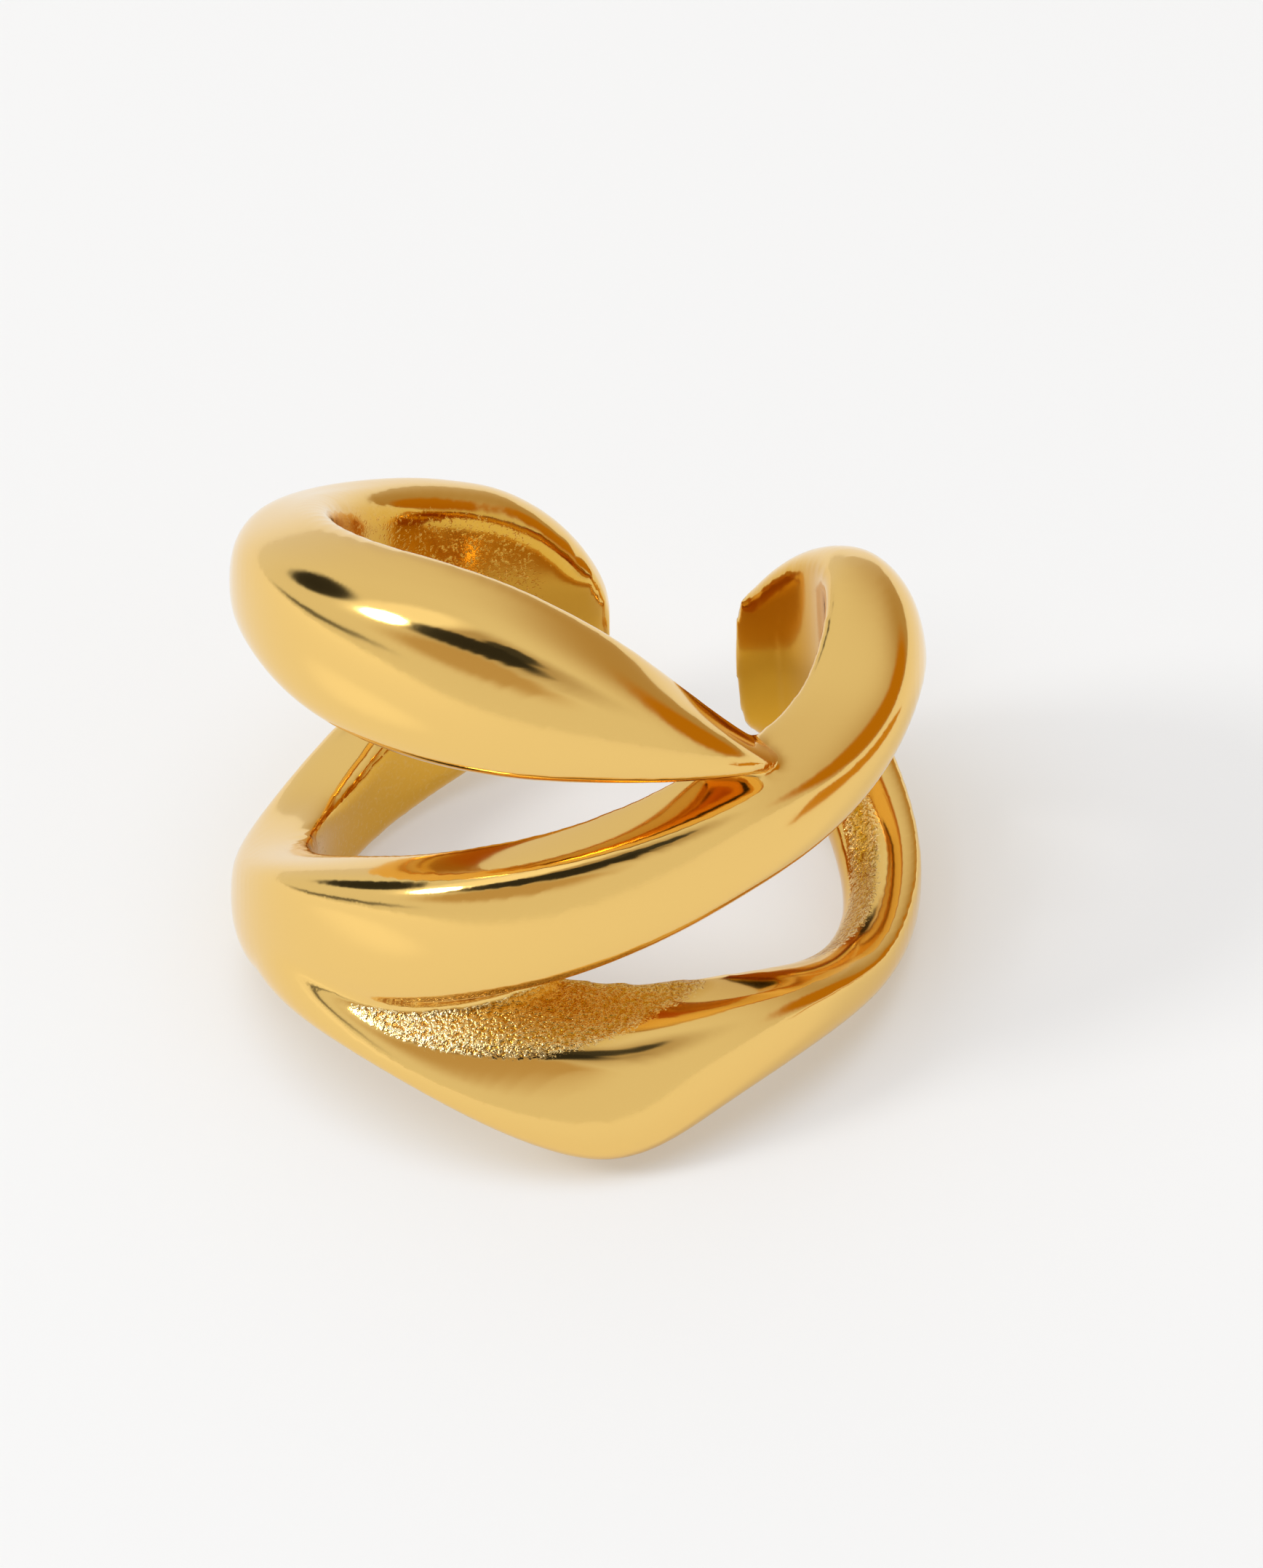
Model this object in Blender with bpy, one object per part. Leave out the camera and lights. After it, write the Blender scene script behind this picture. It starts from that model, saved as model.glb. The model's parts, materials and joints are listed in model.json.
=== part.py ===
"""Wide open ear cuff, one casting: three strands that part and meet round a bore, with two flat gripping ends.

Metres, +Z up. The cuff is shaped round its own upright axis, then laid down as it rests by itself on a table.
"""

import math
from collections import namedtuple

import bmesh
import bpy
from mathutils import Matrix, Vector

# Overall sizes
BORE_WIDTH = 0.00945
BORE_TAPER = 0.06
HEIGHT = 0.0112

# How far each strand's outer face stands off the bore at its fullest
UPPER_WALL = 0.0018
MIDDLE_WALL = 0.00177
LOWER_WALL = 0.00177
LEFT_END_WALL = 0.00148

# The casting: strands start this far inside the bore, are rounded, fused, melted together and thinned out
INSIDE_BORE = 0.0005
ROUNDING_LEVELS = 2
FUSE_GRAIN = 0.00016
MELT_STRENGTH = 0.5
MELT_STEPS = 12
CASTING_TRIANGLES = 12500
BORE_SIDES = 96

# The gripping faces inside the two ends: flat from this turn to the tip
LEFT_GRIP_TURN = -168.0
RIGHT_GRIP_TURN = 127.0
GRIP_SINK = 0.00001
GRIP_LENGTH = 0.0035
GRIP_MID_HEIGHT = 0.0054

GOLD = (0.83, 0.52, 0.14, 1)
POLISHED_ROUGHNESS = 0.15

# turn: degrees round the bore from the front, positive to the right
# top, bottom: heights of the inner upper rim and of the outer lower edge, as shares of HEIGHT
# wall: share of the strand's fullest wall
# slope: fall of the upper face per distance outwards
# flare: how much less the outer face stands out at its top than at its foot, as a share
Section = namedtuple("Section", "turn top bottom wall slope flare")

# The section's outline from the bore (0) to the outer face (1) and from its foot (0) to its top (1)
OUTLINE = [
    (0.0, 0.25),
    (0.0, 0.75),
    (0.15, 1.0),
    (0.5, 1.0),
    (0.78, 0.98),
    (0.95, 0.85),
    (1.0, 0.6),
    (1.0, 0.35),
    (0.93, 0.12),
    (0.75, 0.0),
    (0.4, 0.0),
    (0.15, 0.0),
]

UPPER = [
    Section(42, 0.645, 0.625, 0.50, 0.2, 0.1),
    Section(36, 0.680, 0.622, 0.80, 0.2, 0.1),
    Section(28, 0.737, 0.637, 0.95, 0.2, 0.1),
    Section(19, 0.803, 0.643, 1.0, 0.25, 0.1),
    Section(10, 0.863, 0.647, 1.0, 0.3, 0.1),
    Section(1, 0.907, 0.650, 1.0, 0.3, 0.1),
    Section(-8, 0.943, 0.650, 1.0, 0.3, 0.1),
    Section(-17, 0.968, 0.652, 1.0, 0.3, 0.1),
    Section(-30, 0.984, 0.655, 1.0, 0.3, 0.1),
    Section(-48, 0.977, 0.665, 1.0, 0.3, 0.08),
    Section(-63, 0.960, 0.685, 1.0, 0.3, 0.05),
    Section(-78, 0.938, 0.700, 0.97, 0.3, 0.0),
    Section(-92, 0.912, 0.670, 0.96, 0.3, 0.0),
    Section(-106, 0.880, 0.600, 0.97, 0.2, 0.0),
    Section(-120, 0.840, 0.545, 0.95, 0.1, 0.0),
    Section(-134, 0.803, 0.485, 0.92, 0.0, 0.0),
    Section(-148, 0.780, 0.430, 0.88, 0.0, 0.0),
    Section(-163, 0.738, 0.400, 0.80, 0.0, 0.0),
]
MIDDLE = [
    Section(-164, 0.520, 0.258, 0.72, 0.0, 0.0),
    Section(-154, 0.480, 0.222, 0.78, 0.0, 0.0),
    Section(-142, 0.410, 0.185, 0.90, 0.0, 0.0),
    Section(-130, 0.345, 0.150, 1.02, 0.1, 0.0),
    Section(-119, 0.300, 0.125, 1.05, 0.15, 0.0),
    Section(-109, 0.290, 0.105, 1.05, 0.2, 0.0),
    Section(-90, 0.303, 0.100, 1.04, 0.15, 0.0),
    Section(-71, 0.350, 0.115, 1.03, 0.1, 0.05),
    Section(-54, 0.405, 0.150, 1.0, 0.15, 0.1),
    Section(-32, 0.463, 0.205, 1.0, 0.2, 0.1),
    Section(-15, 0.505, 0.255, 1.0, 0.2, 0.1),
    Section(1, 0.547, 0.302, 1.0, 0.2, 0.1),
    Section(17, 0.590, 0.362, 1.0, 0.2, 0.1),
    Section(28, 0.625, 0.406, 1.0, 0.2, 0.1),
    Section(40, 0.640, 0.442, 1.0, 0.2, 0.1),
    Section(52, 0.660, 0.478, 1.0, 0.15, 0.05),
    Section(64, 0.690, 0.520, 1.0, 0.1, 0.0),
    Section(75, 0.738, 0.560, 1.02, 0.0, 0.0),
    Section(90, 0.785, 0.565, 1.02, 0.0, 0.0),
    Section(103, 0.785, 0.500, 1.0, 0.0, 0.0),
    Section(113, 0.762, 0.430, 0.92, 0.0, 0.0),
    Section(124, 0.718, 0.360, 0.84, 0.0, 0.0),
    Section(132, 0.670, 0.330, 0.76, 0.0, 0.0),
    Section(139, 0.617, 0.330, 0.72, 0.0, 0.0),
    Section(144, 0.555, 0.380, 0.66, 0.0, 0.0),
]
LOWER = [
    Section(-100, 0.270, 0.120, 0.90, 0.0, 0.0),
    Section(-80, 0.270, 0.120, 0.98, 0.0, 0.0),
    Section(-60, 0.290, 0.118, 1.0, 0.2, 0.0),
    Section(-45, 0.300, 0.113, 1.0, 0.5, 0.1),
    Section(-30, 0.310, 0.085, 1.05, 0.75, 0.15),
    Section(-15, 0.300, 0.028, 1.12, 0.65, 0.2),
    Section(0, 0.286, -0.022, 1.18, 0.5, 0.2),
    Section(9, 0.272, -0.022, 1.18, 0.42, 0.2),
    Section(17, 0.262, 0.005, 1.14, 0.32, 0.15),
    Section(26, 0.254, 0.050, 1.07, 0.15, 0.1),
    Section(35, 0.243, 0.080, 1.02, 0.0, 0.05),
    Section(46, 0.224, 0.108, 0.98, -0.1, 0.0),
    Section(59, 0.192, 0.125, 0.96, -0.3, 0.0),
    Section(70, 0.178, 0.140, 0.96, -0.5, 0.0),
    Section(85, 0.182, 0.135, 0.96, -0.8, 0.0),
    Section(95, 0.225, 0.160, 0.97, -0.75, 0.0),
    Section(106, 0.310, 0.208, 0.96, -0.5, 0.0),
    Section(116, 0.410, 0.255, 0.92, -0.2, 0.0),
    Section(126, 0.510, 0.300, 0.82, 0.0, 0.0),
    Section(134, 0.560, 0.350, 0.70, 0.0, 0.0),
]
LEFT_END = [
    Section(-143, 0.600, 0.350, 0.95, 0.0, 0.0),
    Section(-149, 0.740, 0.265, 1.0, 0.0, 0.0),
    Section(-156, 0.765, 0.235, 1.0, 0.0, 0.0),
    Section(-164, 0.740, 0.260, 0.97, 0.0, 0.0),
    Section(-171, 0.705, 0.290, 0.92, 0.0, 0.0),
    Section(-177, 0.665, 0.325, 0.85, 0.0, 0.0),
    Section(-183, 0.600, 0.370, 0.75, 0.0, 0.0),
    Section(-187, 0.530, 0.420, 0.60, 0.0, 0.0),
]


def section_ring(section, fullest_wall):
    """The corner points of one section, in the upright plane at its turn."""
    wall = section.wall * fullest_wall
    turn = math.radians(section.turn)
    ring = []
    for out, up in OUTLINE:
        stand_off = wall * (1 - section.flare * up)
        radius = BORE_WIDTH / 2 - INSIDE_BORE + out * (stand_off + INSIDE_BORE)
        top = section.top * HEIGHT - section.slope * (radius - BORE_WIDTH / 2)
        foot = section.bottom * HEIGHT
        height = foot + up * (top - foot)
        ring.append(Vector((radius * math.sin(turn), -radius * math.cos(turn), height)))
    return ring


def add_strand(mesh, sections, fullest_wall):
    """Lofts one closed strand through its sections into mesh."""
    rings = [
        [mesh.verts.new(point) for point in section_ring(section, fullest_wall)]
        for section in sections
    ]
    for first, second in zip(rings, rings[1:]):
        for point in range(len(OUTLINE)):
            following = (point + 1) % len(OUTLINE)
            mesh.faces.new((first[point], first[following], second[following], second[point]))
    mesh.faces.new(rings[0])
    mesh.faces.new(rings[-1])


def gold_material():
    """Polished yellow gold."""
    material = bpy.data.materials.new("polished_gold")
    material.use_nodes = True
    shader = material.node_tree.nodes["Principled BSDF"]
    shader.inputs["Base Color"].default_value = GOLD
    shader.inputs["Metallic"].default_value = 1.0
    shader.inputs["Roughness"].default_value = POLISHED_ROUGHNESS
    return material


def add_object(name, mesh):
    """Puts a bmesh in the scene as a new object."""
    data = bpy.data.meshes.new(name)
    mesh.to_mesh(data)
    mesh.free()
    made = bpy.data.objects.new(name, data)
    bpy.context.scene.collection.objects.link(made)
    return made


def apply_modifiers(made):
    """Replaces an object's mesh by what its modifiers make of it."""
    graph = bpy.context.evaluated_depsgraph_get()
    data = bpy.data.meshes.new_from_object(made.evaluated_get(graph))
    made.modifiers.clear()
    made.data = data


def fused_strands():
    """All strands, smoothed, fused and melted into each other."""
    mesh = bmesh.new()
    add_strand(mesh, UPPER, UPPER_WALL)
    add_strand(mesh, MIDDLE, MIDDLE_WALL)
    add_strand(mesh, LOWER, LOWER_WALL)
    add_strand(mesh, LEFT_END, LEFT_END_WALL)
    bmesh.ops.recalc_face_normals(mesh, faces=mesh.faces)
    made = add_object("cuff_casting", mesh)
    smooth = made.modifiers.new("round_out", "SUBSURF")
    smooth.levels = ROUNDING_LEVELS
    smooth.render_levels = ROUNDING_LEVELS
    fuse = made.modifiers.new("fuse", "REMESH")
    fuse.mode = "VOXEL"
    fuse.voxel_size = FUSE_GRAIN
    melt = made.modifiers.new("melt_joints", "SMOOTH")
    melt.factor = MELT_STRENGTH
    melt.iterations = MELT_STEPS
    apply_modifiers(made)
    thin = made.modifiers.new("thin_out", "DECIMATE")
    thin.ratio = CASTING_TRIANGLES / (2 * len(made.data.polygons))
    apply_modifiers(made)
    return made


def add_cutter(name, mesh):
    """A solid that is only cut away from the casting."""
    cutter = add_object(name, mesh)
    cutter.hide_render = True
    cutter.display_type = "WIRE"
    return cutter


def bore_cutter():
    """The round bore, a little narrower upwards, as a solid longer than the cuff."""
    mesh = bmesh.new()
    bmesh.ops.create_cone(
        mesh,
        cap_ends=True,
        segments=BORE_SIDES,
        radius1=BORE_WIDTH / 2 + HEIGHT * BORE_TAPER,
        radius2=BORE_WIDTH / 2 - HEIGHT * BORE_TAPER,
        depth=2 * HEIGHT,
        matrix=Matrix.Translation((0, 0, HEIGHT / 2)),
    )
    return add_cutter("bore_cutter", mesh)


def grip_cutter(name, turn_in_degrees):
    """A block inside the bore whose outer face touches it at a turn and cuts the end flat from there."""
    turn = math.radians(turn_in_degrees)
    towards_tip = math.copysign(1, turn)
    outward = Vector((math.sin(turn), -math.cos(turn), BORE_TAPER)).normalized()
    along = Vector((math.cos(turn), math.sin(turn), 0)) * towards_tip
    upward = outward.cross(along)
    touch_radius = BORE_WIDTH / 2 + (HEIGHT / 2 - GRIP_MID_HEIGHT) * BORE_TAPER
    touch = Vector((touch_radius * math.sin(turn), -touch_radius * math.cos(turn), GRIP_MID_HEIGHT))
    centre = touch + outward * (GRIP_SINK - GRIP_LENGTH / 2) + along * GRIP_LENGTH / 2
    placing = Matrix.Identity(4)
    for column, axis in enumerate((outward * GRIP_LENGTH, along * GRIP_LENGTH, upward * HEIGHT)):
        for row in range(3):
            placing[row][column] = axis[row]
    placing.translation = centre
    mesh = bmesh.new()
    bmesh.ops.create_cube(mesh, size=1, matrix=placing)
    bmesh.ops.recalc_face_normals(mesh, faces=mesh.faces)
    return add_cutter(name, mesh)


def cut(made, cutter):
    """Cuts one solid from another."""
    modifier = made.modifiers.new("cut_" + cutter.name, "BOOLEAN")
    modifier.operation = "DIFFERENCE"
    modifier.solver = "EXACT"
    modifier.object = cutter


def centre_of_mass(mesh):
    """The middle of a closed mesh's volume, summed over its triangles."""
    volume = 0
    moment = Vector()
    for first, second, third in mesh.calc_loop_triangles():
        corners = [loop.vert.co for loop in (first, second, third)]
        part = corners[0].dot(corners[1].cross(corners[2])) / 6
        volume += part
        moment += part * (corners[0] + corners[1] + corners[2]) / 4
    return moment / volume


def rests_on(face, middle):
    """Whether the point under the middle, square to a hull face, falls inside that face."""
    corners = [vertex.co for vertex in face.verts]
    for first, second in zip(corners, corners[1:] + corners[:1]):
        if (second - first).cross(middle - first).dot(face.normal) < 0:
            return False
    return True


def resting_turn(made):
    """The least rotation that lays the cuff, foot down, on the face of its hull where it would rest."""
    mesh = bmesh.new()
    mesh.from_mesh(made.data)
    middle = centre_of_mass(mesh)
    hull = bmesh.ops.convex_hull(mesh, input=mesh.verts)
    faces = {part for part in hull["geom"] if isinstance(part, bmesh.types.BMFace)}
    for face in faces:
        face.normal_update()
        if (face.calc_center_median() - middle).dot(face.normal) < 0:
            face.normal_flip()
            face.normal_update()
    stable = [face for face in faces if rests_on(face, middle)]
    ground = max(stable, key=lambda face: -face.normal.z)
    turn = ground.normal.rotation_difference(Vector((0, 0, -1))).to_matrix().to_4x4()
    mesh.free()
    return turn


def lay_down(made):
    """Lays the cuff as it rests, over the origin, and returns what moved it there."""
    turn = resting_turn(made)
    points = [turn @ vertex.co for vertex in made.data.vertices]
    low = Vector([min(point[axis] for point in points) for axis in range(3)])
    high = Vector([max(point[axis] for point in points) for axis in range(3)])
    placing = Matrix.Translation((-(low.x + high.x) / 2, -(low.y + high.y) / 2, -low.z)) @ turn
    made.data.transform(placing)
    return placing


def main():
    for old in list(bpy.data.objects):
        bpy.data.objects.remove(old)
    cuff = fused_strands()
    cutters = [
        bore_cutter(),
        grip_cutter("left_grip_cutter", LEFT_GRIP_TURN),
        grip_cutter("right_grip_cutter", RIGHT_GRIP_TURN),
    ]
    for cutter in cutters:
        cut(cuff, cutter)
    apply_modifiers(cuff)
    for cutter in cutters:
        bpy.data.objects.remove(cutter)
    placing = lay_down(cuff)
    cuff.data.materials.clear()
    cuff.data.materials.append(gold_material())
    cuff.data.shade_smooth()
    return cuff, placing


if __name__ == "__main__":
    main()
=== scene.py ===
# %% [markdown]
# # A gold ear cuff, modelled as melted strands
# An ear cuff of this kind is cast in one piece from a wax model. The wax is rolled into fat strands, the
# strands are bent round a rod and melted together where they meet, and the rod leaves the bore. The lesson
# follows the wax: four strands are lofted, fused, hollowed by a rod, softened at the rims and laid down as
# the cuff rests.

# %% Load the frame
import json
import math

import bpy
import numpy as np
from mathutils import Matrix, Vector


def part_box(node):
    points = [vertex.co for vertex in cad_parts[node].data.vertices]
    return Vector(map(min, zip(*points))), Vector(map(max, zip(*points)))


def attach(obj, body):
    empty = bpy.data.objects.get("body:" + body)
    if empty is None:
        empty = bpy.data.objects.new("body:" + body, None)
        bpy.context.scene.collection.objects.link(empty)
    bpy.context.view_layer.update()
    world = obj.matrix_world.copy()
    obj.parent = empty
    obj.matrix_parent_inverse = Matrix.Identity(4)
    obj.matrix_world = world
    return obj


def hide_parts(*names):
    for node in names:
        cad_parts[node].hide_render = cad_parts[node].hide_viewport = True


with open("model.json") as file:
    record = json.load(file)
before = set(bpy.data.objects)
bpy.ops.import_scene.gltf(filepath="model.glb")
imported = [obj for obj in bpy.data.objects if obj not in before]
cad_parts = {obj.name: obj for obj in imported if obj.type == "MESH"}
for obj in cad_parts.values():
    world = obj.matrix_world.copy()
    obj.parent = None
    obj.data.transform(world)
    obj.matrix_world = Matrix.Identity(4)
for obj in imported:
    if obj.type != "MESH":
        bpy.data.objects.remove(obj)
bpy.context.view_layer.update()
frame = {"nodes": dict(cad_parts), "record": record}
bpy.ops.object.select_all(action="DESELECT")
print("frame holds", ", ".join(frame["nodes"]))

# %% [markdown]
# ## Sizes
# The cuff is built upright round its own axis, with the front towards -Y. The bore is the size that
# everything hangs on, because the rim of an ear has to fit it. It is a little wider at the foot than at the
# top. The walls say how far each strand stands off the bore at its fullest. Each strand also reaches a
# little inside the bore, so that the rod has something to cut.

# %% Driving sizes, in metres
BORE_WIDTH = 0.00945
BORE_TAPER = 0.06
HEIGHT = 0.0112
WALLS = {"upper": 0.0018, "middle": 0.00177, "lower": 0.00177, "left_end": 0.00148}
INSIDE_BORE = 0.0005

# %% [markdown]
# ## Sections
# A strand is a row of sections set upright at turns round the bore. Turns are degrees from the front,
# positive to the right. Heights are shares of the full height, walls are shares of the strand's fullest
# wall. The slope says how steeply the upper face falls outwards, the flare how much the outer face leans in
# towards its top, and the shoulder how tight the edge between the two is, from round below 0 to crisp at 1.
# All were chosen.

# %% Tables of sections: turn, inner top, outer foot, wall, slope, flare, shoulder
STRANDS = {
    "upper": [
        (42, 0.645, 0.625, 0.5, 0.2, 0.1, 0.2),
        (36, 0.680, 0.622, 0.8, 0.2, 0.1, 0.2),
        (28, 0.737, 0.637, 0.95, 0.2, 0.1, 0.2),
        (19, 0.803, 0.643, 1.0, 0.25, 0.1, 0.2),
        (10, 0.863, 0.647, 1.0, 0.3, 0.1, 0.2),
        (1, 0.907, 0.650, 1.0, 0.3, 0.1, 0.2),
        (-8, 0.943, 0.650, 1.0, 0.3, 0.1, 0.2),
        (-17, 0.968, 0.652, 1.0, 0.3, 0.1, 0.2),
        (-30, 0.984, 0.655, 1.0, 0.3, 0.1, 0.2),
        (-48, 0.977, 0.665, 1.0, 0.3, 0.08, 0.2),
        (-63, 0.960, 0.685, 1.0, 0.3, 0.05, 0.2),
        (-78, 0.938, 0.700, 0.97, 0.3, 0.0, 0.2),
        (-92, 0.912, 0.670, 0.96, 0.3, 0.0, 0.2),
        (-106, 0.880, 0.600, 0.97, 0.2, 0.0, 0.2),
        (-120, 0.840, 0.545, 0.95, 0.1, 0.0, 0.2),
        (-134, 0.803, 0.485, 0.92, 0.0, 0.0, 0.2),
        (-148, 0.777, 0.430, 0.88, 0.0, 0.0, 0.2),
        (-156, 0.757, 0.400, 0.84, 0.0, 0.0, 0.2),
        (-164, 0.738, 0.400, 0.8, 0.0, 0.0, 0.2),
        (-171, 0.703, 0.410, 0.76, 0.0, 0.0, 0.2),
        (-177, 0.663, 0.425, 0.7, 0.0, 0.0, 0.2),
        (-183, 0.602, 0.440, 0.61, 0.0, 0.0, 0.2),
        (-187, 0.532, 0.450, 0.5, 0.0, 0.0, 0.2),
    ],
    "middle": [
        (-164, 0.520, 0.258, 0.72, 0.0, 0.0, 0.3),
        (-154, 0.480, 0.222, 0.78, 0.0, 0.0, 0.3),
        (-142, 0.410, 0.185, 0.9, 0.0, 0.0, 0.3),
        (-130, 0.345, 0.150, 1.02, 0.1, 0.0, 0.3),
        (-119, 0.300, 0.125, 1.05, 0.15, 0.0, 0.3),
        (-109, 0.290, 0.105, 1.05, 0.2, 0.0, 0.3),
        (-90, 0.303, 0.100, 1.04, 0.1, 0.0, 0.3),
        (-71, 0.350, 0.115, 1.03, 0.0, 0.05, 0.35),
        (-54, 0.405, 0.150, 1.0, 0.05, 0.1, 0.45),
        (-32, 0.463, 0.205, 1.0, 0.1, 0.1, 0.55),
        (-15, 0.505, 0.255, 1.0, 0.1, 0.1, 0.6),
        (1, 0.547, 0.302, 1.0, 0.12, 0.1, 0.6),
        (17, 0.590, 0.362, 1.0, 0.16, 0.1, 0.6),
        (28, 0.625, 0.406, 1.0, 0.2, 0.1, 0.6),
        (40, 0.640, 0.442, 1.0, 0.2, 0.1, 0.6),
        (52, 0.660, 0.478, 1.0, 0.15, 0.05, 0.2),
        (64, 0.690, 0.520, 1.0, 0.1, 0.0, -0.2),
        (75, 0.738, 0.560, 1.02, 0.0, 0.0, -0.2),
        (90, 0.785, 0.565, 1.02, 0.0, 0.0, -0.6),
        (103, 0.785, 0.500, 1.0, 0.0, 0.0, -0.6),
        (113, 0.762, 0.430, 0.92, 0.0, 0.0, -0.6),
        (124, 0.718, 0.360, 0.84, 0.0, 0.0, -0.6),
        (132, 0.670, 0.330, 0.76, 0.0, 0.0, -0.6),
        (139, 0.617, 0.330, 0.72, 0.0, 0.0, -0.6),
        (144, 0.555, 0.380, 0.66, 0.0, 0.0, -0.6),
    ],
    "lower": [
        (-100, 0.270, 0.120, 0.9, 0.0, 0.0, 0.6),
        (-80, 0.270, 0.120, 0.98, 0.0, 0.0, 0.6),
        (-60, 0.290, 0.118, 1.0, 0.2, 0.0, 0.4),
        (-45, 0.300, 0.113, 1.0, 0.7, 0.1, 0.8),
        (-30, 0.310, 0.085, 1.05, 1.0, 0.15, 1.0),
        (-15, 0.300, 0.028, 1.12, 0.85, 0.2, 1.0),
        (0, 0.286, -0.022, 1.18, 0.68, 0.2, 1.0),
        (9, 0.272, -0.022, 1.18, 0.55, 0.2, 0.6),
        (17, 0.262, 0.005, 1.14, 0.32, 0.15, 0.4),
        (26, 0.254, 0.050, 1.07, 0.15, 0.1, 0.2),
        (35, 0.243, 0.080, 1.02, 0.0, 0.05, 0.2),
        (46, 0.224, 0.108, 0.98, -0.1, 0.0, 0.5),
        (59, 0.192, 0.125, 0.96, -0.35, 0.0, 0.7),
        (70, 0.178, 0.140, 0.96, -0.65, 0.0, 0.8),
        (85, 0.182, 0.135, 0.96, -1.1, 0.0, 0.8),
        (95, 0.225, 0.160, 0.97, -1.0, 0.0, 0.8),
        (106, 0.310, 0.208, 0.96, -0.65, 0.0, 0.6),
        (116, 0.410, 0.255, 0.92, -0.25, 0.0, 0.6),
        (126, 0.510, 0.300, 0.82, 0.0, 0.0, 0.6),
        (134, 0.560, 0.350, 0.7, 0.0, 0.0, 0.6),
    ],
    "left_end": [
        (-143, 0.600, 0.350, 0.95, 0.0, 0.0, 0.2),
        (-149, 0.690, 0.265, 1.0, 0.0, 0.0, 0.2),
        (-156, 0.720, 0.235, 1.0, 0.0, 0.0, 0.2),
        (-164, 0.700, 0.260, 0.97, 0.0, 0.0, 0.2),
        (-171, 0.670, 0.290, 0.92, 0.0, 0.0, 0.2),
        (-177, 0.635, 0.325, 0.85, 0.0, 0.0, 0.2),
        (-183, 0.580, 0.370, 0.75, 0.0, 0.0, 0.2),
        (-187, 0.520, 0.420, 0.6, 0.0, 0.0, 0.2),
    ],
}
print(sum(len(rows) for rows in STRANDS.values()), "sections in", len(STRANDS), "strands")

# %% [markdown]
# ## One section
# Each section is the same outline of a fat strand: nearly flat on the outer face, with a tighter shoulder
# at the top of it, where the polished metal shows its dark reflections. The outline runs from the bore to
# the outer face and from the foot to the top, both as shares, so one outline serves every section. An upper
# face that rises outwards, as at the right of the lower strand, levels off just under a millimetre from the
# bore.

# %% The outline and where its points go
SOFT_OUTLINE = [
    (0.0, 0.25),
    (0.0, 0.75),
    (0.15, 1.0),
    (0.5, 1.0),
    (0.78, 0.98),
    (0.95, 0.85),
    (1.0, 0.6),
    (1.0, 0.35),
    (0.93, 0.12),
    (0.75, 0.0),
    (0.4, 0.0),
    (0.15, 0.0),
]
CRISP_SHOULDER = {4: (0.92, 1.0), 5: (0.985, 0.985), 6: (1.0, 0.91), 7: (1.0, 0.4)}
LEVEL_FROM = 0.00085
LEVEL_PLACE, LEVEL_OUT = 3, 0.62


def on_turn(radius, turn, height):
    """The point at a radius and height, turned from the front."""
    angle = math.radians(turn)
    return Vector((radius * math.sin(angle), -radius * math.cos(angle), height))


def turn_of(point):
    """The turn of a point from the front, in degrees."""
    return math.degrees(math.atan2(point.x, -point.y))


def section_points(section, fullest_wall):
    turn, top_share, foot_share, wall_share, slope, flare, shoulder = section
    points = []
    for place, (out, up) in enumerate(SOFT_OUTLINE):
        crisp_out, crisp_up = CRISP_SHOULDER.get(place, (out, up))
        out += shoulder * (crisp_out - out)
        up += shoulder * (crisp_up - up)
        if slope < 0 and place == LEVEL_PLACE:
            out += min(1, -slope) * (LEVEL_OUT - out)
        stand_off = wall_share * fullest_wall * (1 - flare * up)
        radius = BORE_WIDTH / 2 - INSIDE_BORE + out * (stand_off + INSIDE_BORE)
        reach = radius - BORE_WIDTH / 2
        if slope < 0:
            reach = min(reach, LEVEL_FROM)
        top = top_share * HEIGHT - slope * reach
        foot = foot_share * HEIGHT
        points.append(on_turn(radius, turn, foot + up * (top - foot)))
    return points


# %% [markdown]
# ## Extruding a strand
# A strand starts as a flat disc with as many corners as the outline. The disc is put on the first section,
# then extruded once for each further section, and the new end is carried to its place each time. This is
# how the shape would be drawn by hand, and the caps stay closed by themselves. A Subdivision Surface then
# rounds it.

# %% A helper for modifiers, and the strands
ROUNDING_LEVELS = 3


def use_modifier(piece, kind, **settings):
    """Adds one modifier with its settings and applies it."""
    modifier = piece.modifiers.new(kind.lower(), kind)
    for name, value in settings.items():
        setattr(modifier, name, value)
    bpy.context.view_layer.objects.active = piece
    bpy.ops.object.modifier_apply(modifier=modifier.name)


def carry_end(piece, old_points, new_points):
    """Moves the selected end of a strand, which lies on old_points, to new_points."""
    bpy.ops.object.mode_set(mode="OBJECT")
    ends = [vertex for vertex in piece.data.vertices if vertex.select]
    for vertex in ends:
        nearest = min(range(len(old_points)), key=lambda i: (vertex.co - old_points[i]).length)
        vertex.co = new_points[nearest]
    bpy.ops.object.mode_set(mode="EDIT")


def add_strand(name, sections, fullest_wall):
    bpy.ops.mesh.primitive_circle_add(vertices=len(SOFT_OUTLINE), radius=HEIGHT, fill_type="NGON")
    strand = bpy.context.active_object
    strand.name = name
    rings = [section_points(section, fullest_wall) for section in sections]
    for vertex, point in zip(strand.data.vertices, rings[0]):
        vertex.co = point
    bpy.ops.object.mode_set(mode="EDIT")
    bpy.ops.mesh.select_all(action="SELECT")
    for old_points, new_points in zip(rings, rings[1:]):
        bpy.ops.mesh.extrude_region_move()
        carry_end(strand, old_points, new_points)
    bpy.ops.mesh.select_all(action="SELECT")
    bpy.ops.mesh.normals_make_consistent(inside=False)
    bpy.ops.object.mode_set(mode="OBJECT")
    use_modifier(strand, "SUBSURF", levels=ROUNDING_LEVELS, render_levels=ROUNDING_LEVELS)
    strand.select_set(False)
    return strand


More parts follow.
